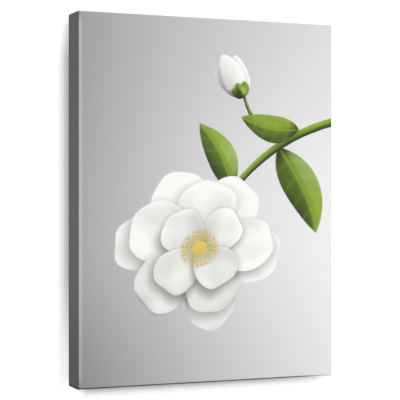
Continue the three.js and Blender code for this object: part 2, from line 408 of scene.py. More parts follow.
def makeStemGroup():
    # A bowed stroke from foot to head: its middle line departs by bow * 4a(1 - a) at the share a.
    look = twigDrawing
    group, given, result = newGroup("printedStem", {
        "Under": black, "Cover": 0, "Place": origin, "Foot": origin, "Head": origin, "Bow": 0,
        "Wide": 0.006, "Narrow": 0.004, "Light": black, "Shade": black,
    }, ("Colour", "Cover"))
    line = calcVector("SUBTRACT", given["Head"], given["Foot"])
    lineX, lineZ = flatParts(line)
    length = calcVector("LENGTH", line)
    fromFoot = calcVector("SUBTRACT", given["Place"], given["Foot"])
    square = times(length, length)
    along = calc("DIVIDE", calcVector("DOT_PRODUCT", fromFoot, line), square)
    normal = joinVector(times(lineZ, -1.0), lineX)
    across = calc("DIVIDE", calcVector("DOT_PRODUCT", fromFoot, normal), length)
    arch = times(along, minus(1.0, along))
    across = minus(across, times(arch, times(given["Bow"], 4.0)))
    onLine = held(along)
    girth = timesPlus(onLine, minus(given["Narrow"], given["Wide"]), given["Wide"])
    knobs = timesPlus(lineNoise(along, look["knobs"]), look["knobSize"], look["slimmest"])
    cross = calc("DIVIDE", across, times(girth, knobs))
    overshoot = times(calc("ABSOLUTE", minus(along, onLine)), look["endCut"])
    distance = plus(calc("ABSOLUTE", cross), overshoot)
    mask = smooth(distance, *look["edge"])
    halo = smooth(distance, *look["shadow"])
    under = darken(times(halo, given["Cover"]), given["Under"])
    winding = timesPlus(lineNoise(along, look["winding"]), look["windingWidth"], cross)
    streak = minus(lineNoise(winding, look["streaks"], 3.0), 0.5)
    tone = timesPlus(streak, look["streakTone"], smooth(cross, *look["round"]))
    bark = mixColour(tone, given["Shade"], given["Light"])
    feed(result["Colour"], mixColour(mask, under, bark))
    feed(result["Cover"], calc("MAXIMUM", mask, given["Cover"]))
    return group


# How the blossom's heart is drawn: ramps run over the distance from its middle, in its radius
heartDrawing = {
    "shadow": (3.0, 0.8, 0.0, 0.34),
    "threads": 19.0, "threadBend": 5.0, "threadSway": 3.0, "threadWidth": (0.42, 0.16), "threadShare": 0.85,
    "threadReach": ((2.25, 2.0), (0.8, 1.0)),
    "dotsRound": 7.0, "dotsOut": 4.6, "dot": (0.42, 0.26), "dotLight": (0.36, 0.08),
    "dotReach": ((2.45, 2.2), (1.1, 1.5)),
    "beads": 620.0, "bead": (0.62, 0.1), "beadShare": 0.8, "domeLight": 0.28,
    "dome": (1.0, 0.9),
}


def makeHeartGroup():
    # A domed middle of small beads, and round it a crown of stamens that end in dots.
    look = heartDrawing
    group, given, result = newGroup("printedHeart", {
        "Under": black, "Place": origin, "Centre": origin, "Radius": 0.01, "Light": black, "Shade": black,
        "Pale": black,
    }, ("Colour",))
    offset = calcVector("SUBTRACT", given["Place"], given["Centre"])
    x, z = flatParts(offset)
    radius = calc("DIVIDE", calcVector("LENGTH", offset), given["Radius"])
    bearing = calc("ARCTAN2", z, x)
    colour = darken(smooth(radius, *look["shadow"]), given["Under"])

    spoke = lineNoise(bearing, look["threadBend"])
    spoke = timesPlus(spoke, look["threadSway"], times(bearing, look["threads"]))
    spoke = calc("ABSOLUTE", calc("SINE", spoke))
    thread = smooth(spoke, *look["threadWidth"])
    thread = times(thread, window(radius, *look["threadReach"]))
    colour = mixColour(times(thread, look["threadShare"]), colour, given["Pale"])

    turns = times(bearing, look["dotsRound"])
    fromDot = cells(joinVector(turns, times(radius, look["dotsOut"])), 1.0)
    dot = times(smooth(fromDot, *look["dot"]), window(radius, *look["dotReach"]))
    bright = smooth(fromDot, *look["dotLight"])
    colour = mixColour(dot, colour, mixColour(bright, given["Shade"], given["Light"]))

    bead = smooth(cells(offset, look["beads"]), *look["bead"])
    lit = calc("DIVIDE", plus(x, z), given["Radius"])
    bead = timesPlus(lit, look["domeLight"], times(bead, look["beadShare"]))
    dome = mixColour(bead, mixColour(0.5, given["Shade"], given["Pale"]), given["Light"])
    feed(result["Colour"], mixColour(smooth(radius, *look["dome"]), colour, dome))
    return group


def makePrintGroup():
    # The whole design as a colour. The place folds back past each edge, so the sides mirror the front.
    design = printDesign
    group, given, result = newGroup("printedPicture", {"Place": origin}, ("Colour",))
    x, z = flatParts(given["Place"])
    u = held(timesPlus(x, 1 / pictureWide, 0.5))
    v = held(timesPlus(z, 1 / pictureTall, 0.5))

    def toneAcross(start, growth, bend):
        return timesPlus(timesPlus(u, bend, growth), u, start)

    backdrop = design["backdrop"]
    high = smooth(v, *backdrop["top"], 1.0, toneAcross(*backdrop["topTone"]))
    low = smooth(v, *backdrop["bottom"], 1.0, toneAcross(*backdrop["bottomTone"]))
    tone = times(times(toneAcross(*backdrop["tone"]), high), low)
    pitch, strength = backdrop["swell"]
    tone = times(tone, timesPlus(swells(x, z, pitch, 1.0), strength, 1.0))
    cool = timesPlus(times(u, u), -backdrop["cool"], backdrop["cool"])
    cool = times(cool, smooth(x, -halfWide - backdrop["coolEdge"], -halfWide))
    colour = joinColour(tone, times(tone, backdrop["green"]), plus(tone, cool))
    x = minus(calc("PINGPONG", plus(x, halfWide), pictureWide), halfWide)
    z = minus(calc("PINGPONG", plus(z, halfTall), pictureTall), halfTall)
    place = joinVector(x, z)

    petal, leaf = makeLobeGroup("printedPetal", False), makeLobeGroup("printedLeaf", True)
    stem, heart = makeStemGroup(), makeHeartGroup()
    green = design["green"]
    drawn = {"Under": colour, "Cover": 0.0}

    def layOver(group, values):
        made = useGroup(group, {**drawn, **values})
        drawn["Under"], drawn["Cover"] = made["Colour"], made["Cover"]

    def leafAt(foot, turn, length, width, seed, bow=0.0, **other):
        values = lobeValues(foot, turn, length, width, seed, **{**design["leafShape"], **other})
        values = {**values, **design["leafFinish"], "Bow": bow, "Place": place}
        layOver(leaf, {**values, **green, "Throat": green["Shade"]})

    def petalAt(place, foot, turn, length, width, seed, shape, finish):
        values = lobeValues(foot, turn, length, width, seed, **shape)
        layOver(petal, {**values, **finish, "Place": place, **design["white"]})

    *behind, before = design["leaves"]
    for leafPlan in behind:
        leafAt(*leafPlan)
    for twig in ("sideTwig", "twig"):
        layOver(stem, {**design[twig], "Place": place, **green})
    leafAt(*before)

    # The bud at the side twig's end: three narrow petals and a green cup.
    budSpot = design["sideTwig"]["Head"]
    for turn, length, width, seed in design["budPetals"]:
        petalAt(place, budSpot, turn, length, width, seed, design["budShape"], design["budFinish"])
    for turn, seed in design["budScales"]:
        leafAt(budSpot, turn, seed=seed, **design["budScale"])

    # The blossom is seen a little from the side, so its place is squashed along one direction.
    blossom, uneven = design["blossom"], design["uneven"]
    fromHeart = calcVector("SUBTRACT", place, (*blossom["centre"], 0))
    turned = addFed("ShaderNodeVectorRotate", {"Vector": fromHeart, "Angle": -blossom["lean"]},
                    rotation_type="Z_AXIS")[0]
    flat = calcVector("MULTIPLY", turned, (1.0, 1 / blossom["squash"], 1.0))
    number = 0
    for count, first, length, width, tone, shadow in design["rings"]:
        for index in range(count):
            number += 1
            sway = math.sin(uneven["swayStep"] * number)
            stretch = math.sin(uneven["stretchStep"] * number + 1)
            seed = uneven["seedStep"] * number
            turn = first + 360 * index / count + uneven["turn"] * sway
            petalLength = length * (1 + uneven["length"] * stretch)
            petalWidth = width * (1 + uneven["width"] * sway)
            shape = {**design["petalShape"], "tone": tone + uneven["tone"] * stretch}
            finish = {**design["petalFinish"], "Shadow": shadow}
            petalAt(flat, (0, 0), turn, petalLength, petalWidth, seed, shape, finish)
    picture = useGroup(heart, {
        "Under": drawn["Under"], "Place": flat, "Centre": origin, "Radius": blossom["heart"],
        **design["yellow"],
    })
    feed(result["Colour"], picture["Colour"])
    return group


# The weave, which both sides of the cloth share
weaveDesign = {"pitch": 0.00062, "wobble": 900.0, "dip": 0.4, "valley": 0.45}


def makeWeaveGroup():
    # Plain weave: warp and weft are rows of half sines that pass over each other like a chessboard.
    dip = weaveDesign["dip"]
    group, given, result = newGroup("plainWeave", {
        "Place": origin, "Pitch": 0.0006, "Unevenness": 0.3,
    }, ("Height", "Valley"))
    wobble = minus(noise(given["Place"], weaveDesign["wobble"]), 0.5)
    x, y, _ = splitVector(given["Place"])
    shift = times(wobble, given["Unevenness"])
    u = plus(calc("DIVIDE", x, given["Pitch"]), shift)
    v = plus(calc("DIVIDE", y, given["Pitch"]), shift)
    warp = calc("ABSOLUTE", calc("SINE", times(u, math.pi)))
    weft = calc("ABSOLUTE", calc("SINE", times(v, math.pi)))
    square = plus(calc("FLOOR", u), calc("FLOOR", v))
    over = times(warp, timesPlus(weft, dip, 1 - dip))
    under = times(weft, timesPlus(warp, dip, 1 - dip))
    height = mixValue(calc("PINGPONG", square, 1.0), over, under)
    feed(result["Height"], height)
    feed(result["Valley"], smooth(height, weaveDesign["valley"], 0.0))
    return group


# Rubbed-off ink along the front's edges, painted highlight along its left edge, and painted shade along its
# foot and the back of its left side: metres in from an edge, and how much ink or light goes
edgeWearAndPaintedLight = {
    "values": {"Reach": 0.0055, "Left": 0.28, "Others": 0.03, "EdgeShade": 0.90},
    "patches": 70.0, "patchTone": (0.5, 0.75),
    "leftStart": (-0.0012, 0.0), "leftEnds": (0.001, 0.014),
    "leftBelow": (-0.9, -0.45, 0.68, 1.0),  # weaker near the foot, in shares of half the height
    "othersReach": 0.4,
    "footLine": ((0.0018, 0.0008), (-0.030, -0.002)), "footLineRight": (1.0, 0.68, 0.2, 1.0),
    "rightLine": (0.0016, 0.0008, 0.0, 0.12),
    "backRim": (-0.006, -0.001), "backRimTurn": (0.0, -0.010), "backRimShare": 0.48,
}


def makePaintedLightAndWearGroup():
    # How much lighter the front is along its folded edges: painted highlight along the left edge, and ink
    # rubbed off along the others. And how much darker: painted shade along the foot and near the back of the
    # left side, and a thin darker line along the right edge. Both from the place on the flat sheet.
    look = edgeWearAndPaintedLight
    group, given, result = newGroup("edgeWearAndPaintedLight", {
        "Place": origin, "Reach": 0.003, "Left": 0.5, "Others": 0.1, "EdgeShade": 0.5,
    }, ("Wear", "EdgeShade"))
    x, z, _ = splitVector(given["Place"])
    patchy = timesPlus(noise(given["Place"], look["patches"], 3.0), *look["patchTone"])
    fromLeft = plus(x, halfWide)
    fromRight = calc("ABSOLUTE", minus(x, halfWide))
    fromEnds = minus(halfTall, calc("ABSOLUTE", z))
    fromFoot = plus(z, halfTall)

    # Painted highlight along the left front edge, fading at the top and bottom and weaker towards the foot.
    leftBand = window(fromLeft, (given["Reach"], 0.0), look["leftStart"])
    low, high, start, end = look["leftBelow"]
    below = smooth(z, low * halfTall, high * halfTall, start, end)
    leftBand = times(leftBand, times(smooth(fromEnds, *look["leftEnds"]), below))
    # Ink rubbed off along the other edges.
    nearest = calc("MINIMUM", fromRight, calc("ABSOLUTE", fromEnds))
    otherBand = smooth(nearest, times(given["Reach"], look["othersReach"]), 0.0)
    wear = calc("MAXIMUM", times(leftBand, given["Left"]), times(otherBand, given["Others"]))
    feed(result["Wear"], times(wear, patchy))

    # Painted shade along the foot, fading out to the right, and a thin darker line along the right edge.
    low, high, start, end = look["footLineRight"]
    fading = smooth(x, low * halfWide, high * halfWide, start, end)
    line = times(window(fromFoot, *look["footLine"]), fading)
    line = calc("MAXIMUM", line, smooth(fromRight, *look["rightLine"]))
    # Painted shade near the back edge of the left side, beside the wall.
    toBack = minus(calc("ABSOLUTE", fromLeft), pictureDeep)
    rim = times(smooth(toBack, *look["backRim"]), smooth(fromLeft, *look["backRimTurn"]))
    feed(result["EdgeShade"], times(timesPlus(rim, look["backRimShare"], line), given["EdgeShade"]))
    return group


weaveGroup = makeWeaveGroup()
paintedLightAndWearGroup = makePaintedLightAndWearGroup()
printGroup = makePrintGroup()
print("print design, weave and edge wear built")


# The canvas: one sheet, cut larger than the front and folded round the bars
canvasSheet = {
    "name": "stretched_cloth", "map": "flatSheet",
    "thickness": 0.0005,
    "edgeRadius": 0.0006,
    "flange": 0.024,
    "bleed": 0.010,                 # how far the print runs on over the back
    "step": 0.006, "sideStep": 0.0035, "flangeStep": 0.002, "arcSteps": 5,
    "dish": 0.0004,                 # how far the front dips in its middle
    "rawEdge": 0.0006,              # how unevenly the sheet was cut
    "rawWaves": (410, 173),
    "lift": 0.0005,                 # how far the cut edge stands off the wood between staples
    "pitch": (0.042, 0.044),        # from staple to staple, along the top and bottom, and along the sides
    "foldHeight": 0.0007,
    "foldRound": 0.0008,
    "foldSink": 0.00012,            # how far a fold's long edges end below the cloth under them
    "foldSwell": (0.2, 60),         # how much higher a fold is here and there, and how often
    "foldEnds": (0, 0.1, 0.3, 0.6, 1.0),  # where its rows stand across a round edge
    "foldEdge": 0.12,               # the most that a round edge takes of its width
    "foldFlat": (0.16, 0.84, 17),   # the rows between its round edges: from, to and how many
}


def addObject(name, data):
    made = bpy.data.objects.new(name, data)
    bpy.context.scene.collection.objects.link(made)
    return made


def evenLine(low, high, step):
    count = max(2, int(round((high - low) / step)) + 1)
    return np.linspace(low, high, count)


def joinGrids(name, grids, mapName):
    # Each grid is (points, flat places, flip). Quads run along its two directions.
    points, faces, flats, start = [], [], [], 0
    for grid, flat, flip in grids:
        rows, columns = grid.shape[:2]
        index = np.arange(rows * columns).reshape(rows, columns) + start
        quads = np.stack((index[:-1, :-1], index[1:, :-1], index[1:, 1:], index[:-1, 1:]), -1).reshape(-1, 4)
        faces.append(quads[:, ::-1] if flip else quads)
        points.append(grid.reshape(-1, 3))
        flats.append(flat.reshape(-1, 2))
        start += rows * columns
    points, faces, flats = np.concatenate(points), np.concatenate(faces), np.concatenate(flats)
    mesh = bpy.data.meshes.new(name)
    mesh.from_pydata(points.tolist(), [], faces.tolist())
    layer = mesh.uv_layers.new(name=mapName)
    layer.data.foreach_set("uv", flats[faces.ravel()].astype(np.float32).ravel())
    return addObject(name, mesh)


def wrapProfile(sheet):
    # The way over an edge, from the flat front to the cut edge: outward reach, depth, and arc length.
    radius, deep = sheet["edgeRadius"], pictureDeep
    turn = np.linspace(0, math.pi / 2, sheet["arcSteps"] + 1)
    frontArc = np.stack((radius * np.sin(turn), radius - radius * np.cos(turn)), 1)
    depth = evenLine(radius, deep - radius, sheet["sideStep"])[1:-1]
    side = np.stack((np.full_like(depth, radius), depth), 1)
    backArc = np.stack((radius * np.cos(turn), deep - radius + radius * np.sin(turn)), 1)
    inward = evenLine(0, sheet["flange"] - radius, sheet["flangeStep"])[1:]
    flange = np.stack((-inward, np.full_like(inward, deep)), 1)
    way = np.concatenate((frontArc, side, backArc, flange))
    steps = np.hypot(*np.diff(way, axis=0).T)
    return way, np.concatenate(([0], np.cumsum(steps)))


def rowFrame(across, up, depth):
    # Points from how far they lie across, above and behind the middle of the front.
    return np.stack((across, frontY + depth, middleZ + up), -1)


def makeCloth(sheet):
    # The front is a grid that dips by dish * (1 - a * a) * (1 - b * b). Each side is the profile carried
    # along its edge, and each corner the profile turned through a quarter circle.
    radius = sheet["edgeRadius"]
    flatWide, flatTall = halfWide - radius, halfTall - radius
    a, b = np.meshgrid(evenLine(-flatWide, flatWide, sheet["step"]),
                       evenLine(-flatTall, flatTall, sheet["step"]), indexing="ij")
    dish = sheet["dish"] * (1 - (a / flatWide) ** 2) * (1 - (b / flatTall) ** 2)
    grids = [(rowFrame(a, b, dish), np.stack((a, b), -1), False)]

    way, reach = wrapProfile(sheet)
    onFlange = np.clip((reach - reach[-1] + sheet["flange"]) / sheet["flange"], 0, 1)
    shortWave, longWave = sheet["rawWaves"]
    for normalX, normalZ in ((1, 0), (0, 1), (-1, 0), (0, -1)):
        alongX, alongZ = -normalZ, normalX
        halfRun = flatTall if normalX else flatWide
        halfReach = flatWide if normalX else flatTall
        run = evenLine(-halfRun, halfRun, sheet["step"])
        s, t = np.meshgrid(run, np.arange(len(way)), indexing="ij")
        outward, depth, length = way[t, 0], way[t, 1], reach[t]
        s = s * (halfRun + np.minimum(outward, 0)) / halfRun
        share = onFlange[t]
        waves = np.sin(s * shortWave + 3 * normalX) + np.sin(s * longWave + normalZ)
        ragged = sheet["rawEdge"] * share ** 6 * waves / 2
        lifted = sheet["lift"] * share ** 3 * np.sin(s * math.pi / sheet["pitch"][abs(normalX)]) ** 2

        def spot(out, run):
            return normalX * out + alongX * run, normalZ * out + alongZ * run

        side = rowFrame(*spot(halfReach + outward + ragged, s), depth + lifted)
        grids.append((side, np.stack(spot(halfReach + length, s), -1), True))

        # The round corner between this side and the next.
        keep = slice(0, np.argmax(way[:, 1] >= pictureDeep - 1e-9) + 1)
        turn = np.linspace(0, math.pi / 2, sheet["arcSteps"] + 1)
        g, t = np.meshgrid(turn, np.arange(len(way))[keep], indexing="ij")
        outward, depth, length = np.maximum(way[t, 0], 0), way[t, 1], reach[t]
        corner = rowFrame(*spot(halfReach + outward * np.cos(g), halfRun + outward * np.sin(g)), depth)
        grids.append((corner, np.stack(spot(halfReach + length, halfRun + g * radius), -1), True))
    grids += [cornerFold(sheet, way, reach, sideX, sideZ) for sideX in (-1, 1) for sideZ in (-1, 1)]
    return joinGrids(sheet["name"], grids, sheet["map"])


def cornerFold(sheet, way, reach, sideX, sideZ):
    # The spare cloth of a corner, folded flat on the top or bottom side and over the back. It ends in a
    # fold at 45 degrees to the corner's edge: its width grows from nothing as the way from the front does.
    # Its two long edges are rounded and end just below the cloth that they lie on.
    radius, rounding = sheet["edgeRadius"], sheet["foldRound"]
    first = np.argmax(way[:, 0] >= radius - 1e-9)
    t = np.arange(first, len(way))
    wayLength = reach[t]
    near = np.maximum(wayLength - (wayLength[-1] - sheet["flange"]), 0)
    far = wayLength - wayLength[0]
    ends = np.array(sheet["foldEnds"])
    edge, between = sheet["foldEdge"] * ends, np.linspace(*sheet["foldFlat"])
    share = np.concatenate((edge, between, 1 - edge[::-1]))
    most = np.concatenate((ends * rounding, np.full_like(between, np.inf), ends[::-1] * rounding))
    p, k = np.meshgrid(share, np.arange(len(t)), indexing="ij")
    limit, width = most[:, None], (far - near)[k]
    s = np.where(p < 0.5, near[k] + np.minimum(p * width, limit), far[k] - np.minimum((1 - p) * width, limit))
    fromNear = np.clip((s - near[k]) / rounding, 0, 1)
    fromFar = np.clip((far[k] - s) / rounding, 0, 1)
    height = np.sqrt(1 - (1 - fromNear) ** 2) * np.sqrt(1 - (1 - fromFar) ** 2)
    swell, often = sheet["foldSwell"]
    height = height * sheet["foldHeight"] * (1 + swell * p * np.sin(wayLength[k] * often) ** 2)
    height = height - sheet["foldSink"] * ((1 - fromNear) ** 2 + (1 - fromFar) ** 2)
    tangent = np.gradient(way, axis=0)
    tangent /= np.hypot(*tangent.T)[:, None]
    outDirection, depthDirection = tangent[t, 1][k], -tangent[t, 0][k]
    proud = way[t, 0][k]
    bent = np.sqrt(np.maximum(proud ** 2 - np.maximum(radius - s, 0) ** 2, 0))
    outward = np.where(proud > 0, bent, proud) + outDirection * height
    depth = way[t, 1][k] + depthDirection * height
    across = sideX * (halfWide - s)
    up = sideZ * (halfTall - radius + outward)
    flat = np.stack((sideX * (halfWide - radius + wayLength[k]), sideZ * (halfTall + s)), -1)
    return rowFrame(across, up, depth), flat, sideX * sideZ > 0


def closeCloth(cloth, sheet):
    # Joins the grids along their seams, and gives the sheet its thickness and its other side.
    work = bmesh.new()
    work.from_mesh(cloth.data)
    bmesh.ops.remove_doubles(work, verts=work.verts, dist=2e-6)
    bmesh.ops.dissolve_degenerate(work, edges=work.edges, dist=1e-7)
    work.to_mesh(cloth.data)
    work.free()
    cloth.data.polygons.foreach_set("use_smooth", np.ones(len(cloth.data.polygons), bool))
    wall = cloth.modifiers.new("cloth thickness", "SOLIDIFY")
    wall.thickness = sheet["thickness"]
    wall.offset = -1
    wall.material_offset = 1
    wall.material_offset_rim = 1


# The cloth's two sides: primed and printed in front, raw cotton behind
printedSide = {
    "wornAndHighlight": (0.93, 0.93, 0.92, 1), "valleys": 0.08,
    "primer": (0.87, 0.865, 0.84, 1), "soiled": (0.68, 0.66, 0.60, 1), "primerValleys": 0.25,
    "printEdge": 0.0004,         # over how wide a line the print ends
    "edgeSoil": (0.004, 0.35),   # how far past that line soil begins, and how much there is at the cut edge
    "stains": 26.0, "stainShare": 0.5, "soilShare": 0.6,
    "rough": (0.12, 0.70), "shine": {"Specular IOR Level": 0.3, "Sheen Weight": 0.05},
    "bump": (0.35, 0.00012), "unevenness": 0.5,
}
rawSide = {
    "cream": ((0.70, 0.66, 0.56, 1), (0.80, 0.765, 0.67, 1)), "patches": 18.0,
    "slub": (0.52, 0.46, 0.36, 1), "slubs": (40.0, 900.0, 1.0), "slubShare": (0.62, 0.78, 0.0, 0.35),
    "valley": (0.42, 0.38, 0.30, 1), "valleys": 0.4,
    "shine": {"Roughness": 0.9, "Specular IOR Level": 0.2, "Sheen Weight": 0.2},
    "bump": (0.6, 0.0002), "unevenness": 0.7,
}


def clothMaterial(name, sheet, finish):
    # What both sides share: the place on the flat sheet, and the weave, which stands out as a bump.
    material, shader = newMaterial(name, finish["shine"])
    flat = addNode(shader, "ShaderNodeUVMap", uv_map=sheet["map"]).outputs[0]
    weave = useGroup(weaveGroup, {
        "Place": flat, "Pitch": weaveDesign["pitch"], "Unevenness": finish["unevenness"],
    })
    addBump(shader, weave["Height"], *finish["bump"])
    return material, shader, flat, weave["Valley"]


def makePrintedCanvas(sheet, finish):
    material, shader, flat, valley = clothMaterial("printedCanvas", sheet, finish)
    wear = useGroup(paintedLightAndWearGroup, {"Place": flat, **edgeWearAndPaintedLight["values"]})
    picture = useGroup(printGroup, {"Place": flat})["Colour"]
    # Lighter where ink is rubbed off the edges, and a painted highlight along the left front edge.
    picture = mixColour(wear["Wear"], picture, finish["wornAndHighlight"])
    # Darker in the weave's valleys, with painted shade along the foot and the back of the left side, and a
    # thin darker line along the right edge.
    picture = darken(timesPlus(valley, finish["valleys"], wear["EdgeShade"]), picture)

    x, z, _ = splitVector(flat)
    past = calc("MAXIMUM", minus(calc("ABSOLUTE", x), halfWide),
                minus(calc("ABSOLUTE", z), halfTall))
    printEnd = pictureDeep + sheet["bleed"]
    bare = smooth(past, printEnd, printEnd + finish["printEdge"])
    soilStart, mostSoil = finish["edgeSoil"]
    cutEdge = smooth(past, printEnd + soilStart, pictureDeep + sheet["flange"], 0.0, mostSoil)
    stain = timesPlus(lineNoise(plus(x, z), finish["stains"], 3.0), finish["stainShare"], cutEdge)
    soil = timesPlus(valley, finish["primerValleys"], times(stain, finish["soilShare"]))
    primer = mixColour(soil, finish["primer"], finish["soiled"])
    feed(shader.inputs["Base Color"], mixColour(bare, picture, primer))
    feed(shader.inputs["Roughness"], timesPlus(valley, *finish["rough"]))
    return material


def makeRawCanvas(sheet, finish):
    material, shader, flat, valley = clothMaterial("rawCanvasReverse", sheet, finish)
    patches = noise(flat, finish["patches"], 3.0)
    slubs = stretchedNoise(flat, finish["slubs"])
    cream = mixColour(patches, *finish["cream"])
    cream = mixColour(smooth(slubs, *finish["slubShare"]), cream, finish["slub"])
    cream = mixColour(times(valley, finish["valleys"]), cream, finish["valley"])
    feed(shader.inputs["Base Color"], cream)
    return material


cloth = makeCloth(canvasSheet)
closeCloth(cloth, canvasSheet)
cloth.data.materials.append(makePrintedCanvas(canvasSheet, printedSide))
cloth.data.materials.append(makeRawCanvas(canvasSheet, rawSide))
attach(cloth, "root")
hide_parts("canvas")
print("canvas stretched:", len(cloth.data.polygons), "faces")


# The bars: planed pine, each board with its own rings, streaks and small knots
pineBoards = {
    "ringPitch": 0.0034,
    "early": (0.80, 0.62, 0.40, 1),
    "late": (0.60, 0.39, 0.20, 1),
    "knot": (0.26, 0.13, 0.055, 1),
    "seeds": {"top": 1.7, "right": 4.2, "bottom": 8.9, "left": 13.3},
    "pith": (0.03, 0.05),        # where the pith line runs, towards -y and -z
    "pithSway": 0.02, "bend": 0.016, "bulge": (0.5, 0.1, 0.0, 0.006),
    "lateRise": (0.25, 0.88), "lateFall": (1.0, 0.93),
    "knots": (5.5, 16.0, 16.0), "knotEdge": (0.115, 0.075), "knotShare": 0.85,
    "slow": (7.0, 30.0, 30.0), "streaks": (22.0, 900.0, 900.0), "pores": (90.0, 2600.0, 2600.0),
    "streakShare": 0.55, "lateShare": 0.72, "poreShade": (0.58, 0.78, 0.0, 0.14),
    "lateHeight": 0.5, "streakHeight": 0.7, "poreDepth": -0.5,
    "rough": (-0.14, 0.74), "bump": (0.35, 0.0002),
}


def makeWoodGroup(board):
    # Rings are shells round a pith line beside the board, bent by slow noise; the grain runs along x.
    group, given, result = newGroup("pineGrain", {
        "Place": origin, "Seed": 0, "Ring pitch": 0.003, "Early": plainWhite, "Late": plainWhite,
        "Knot": plainWhite,
    }, ("Colour", "Height", "Roughness"))
    place = calcVector("ADD", given["Place"], joinVector(given["Seed"], 0.0, 0.0))
    near = cells(calcVector("MULTIPLY", place, board["knots"]), 1.0, "3D")
    slow = stretchedNoise(place, board["slow"])
    x, y, z = splitVector(given["Place"])
    pithY, pithZ = board["pith"]
    pithZ = timesPlus(calc("SINE", given["Seed"]), board["pithSway"], pithZ)
    far = flatLength(plus(y, pithY), plus(z, pithZ))
    far = plus(timesPlus(slow, board["bend"], far), smooth(near, *board["bulge"]))
    ring = calc("FRACT", calc("DIVIDE", far, given["Ring pitch"]))
    late = window(ring, board["lateRise"], board["lateFall"])
    streaks = stretchedNoise(place, board["streaks"], 3.0, 0.6)
    pores = stretchedNoise(place, board["pores"], 2.0, 0.6)
    share = timesPlus(minus(streaks, 0.5), board["streakShare"], times(late, board["lateShare"]))
    colour = mixColour(share, given["Early"], given["Late"])
    knot = times(smooth(near, *board["knotEdge"]), board["knotShare"])
    colour = mixColour(knot, colour, given["Knot"])
    dark = smooth(pores, *board["poreShade"])
    feed(result["Colour"], darken(dark, colour))
    height = timesPlus(late, board["lateHeight"], times(streaks, board["streakHeight"]))
    feed(result["Height"], timesPlus(dark, board["poreDepth"], height))
    feed(result["Roughness"], timesPlus(late, *board["rough"]))
    return group


def makePine(side, board, group):
    material, shader = newMaterial("pine_" + side, {"Specular IOR Level": 0.3})
    turn = math.pi / 2 if side in ("left", "right") else 0
    along = addFed("ShaderNodeMapping", {"Vector": objectPlace(shader), "Rotation": (0, turn, 0)})[0]
    wood = useGroup(group, {
        "Place": along, "Seed": board["seeds"][side], "Ring pitch": board["ringPitch"],
        "Early": board["early"], "Late": board["late"], "Knot": board["knot"],
    })
    feedAll(shader, {"Base Color": wood["Colour"], "Roughness": wood["Roughness"]})
    addBump(shader, wood["Height"], *board["bump"])
    return material


def dress(node, material):
    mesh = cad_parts[node].data
    mesh.materials.clear()
    mesh.materials.append(material)


woodGroup = makeWoodGroup(pineBoards)
for side in pineBoards["seeds"]:
    dress("stretcher_bar_" + side, makePine(side, pineBoards, woodGroup))
print("four pine bars dressed")


# The metal pieces and the bumpers, by a word that is in their names: the first that fits is taken
metalParts = {
    "staple": {
        "name": "stapleSteel", "colour": (0.60, 0.61, 0.63, 1), "dull": (0.38, 0.39, 0.41, 1), "rough": 0.34,
    },
    "nail": {
        "name": "nailPlated", "colour": (0.70, 0.62, 0.42, 1), "dull": (0.42, 0.35, 0.22, 1), "rough": 0.30,
    },
    "hanger": {
        "name": "hangerBrass", "colour": (0.82, 0.64, 0.30, 1), "dull": (0.62, 0.46, 0.20, 1), "rough": 0.24,
    },
}
metalWear = {
    "blotches": 260.0, "tarnish": (0.50, 0.80), "tarnishRough": 0.22,
    "scratches": (500.0, 500.0, 6000.0), "scratchRough": 0.10, "bump": (0.2, 0.00005),
}
bumperPart = {
    "colour": (0.045, 0.045, 0.048, 1), "dust": (0.16, 0.155, 0.15, 1), "dustSize": 300.0,
    "dustShare": (0.50, 0.75, 0.0, 0.5), "grain": 2600.0, "rough": (0.2, 0.55), "bump": (0.3, 0.0001),
}


def makeMetal(finish, wear):
    material, shader = newMaterial(finish["name"], {"Metallic": 1.0})
    place = objectPlace(shader)
    scratch = stretchedNoise(place, wear["scratches"])
    tarnish = smooth(noise(place, wear["blotches"], 4.0, 0.6), *wear["tarnish"])
    rough = timesPlus(tarnish, wear["tarnishRough"], finish["rough"])
    feedAll(shader, {
        "Base Color": mixColour(tarnish, finish["colour"], finish["dull"]),
        "Roughness": timesPlus(scratch, wear["scratchRough"], rough),
    })
    addBump(shader, scratch, *wear["bump"])
    return material


def makeRubber(finish):
    material, shader = newMaterial("bumperRubber", {})
    place = objectPlace(shader)
    grain = noise(place, finish["grain"])
    dust = smooth(noise(place, finish["dustSize"], 4.0), *finish["dustShare"])
    feedAll(shader, {
        "Base Color": mixColour(dust, finish["colour"], finish["dust"]),
        "Roughness": timesPlus(grain, *finish["rough"]),
    })
    addBump(shader, grain, *finish["bump"])
    return material


smallParts = {word: makeMetal(finish, metalWear) for word, finish in metalParts.items()}
smallParts["bumper"] = makeRubber(bumperPart)
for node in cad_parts:
    fitting = [material for word, material in smallParts.items() if word in node]
    if fitting:
        dress(node, fitting[0])
print("staples, hanger, nails and bumpers dressed")


# The room: a white wall and, far below, a pale floor, each seen only from its front
room = {
    "wallGap": 0.0004, "wallSize": 6.0, "wallTone": 0.97, "glow": 0.21,
    "floorDrop": 1.3, "floorSize": 60.0, "floorTone": 0.90, "floorGlow": 0.42,
    "wallFade": (0.36, 0.90),  # how far from the picture the wall begins to turn white, and where it is
    "floorFade": (1.5, 7.0),   # the same for the floor
}
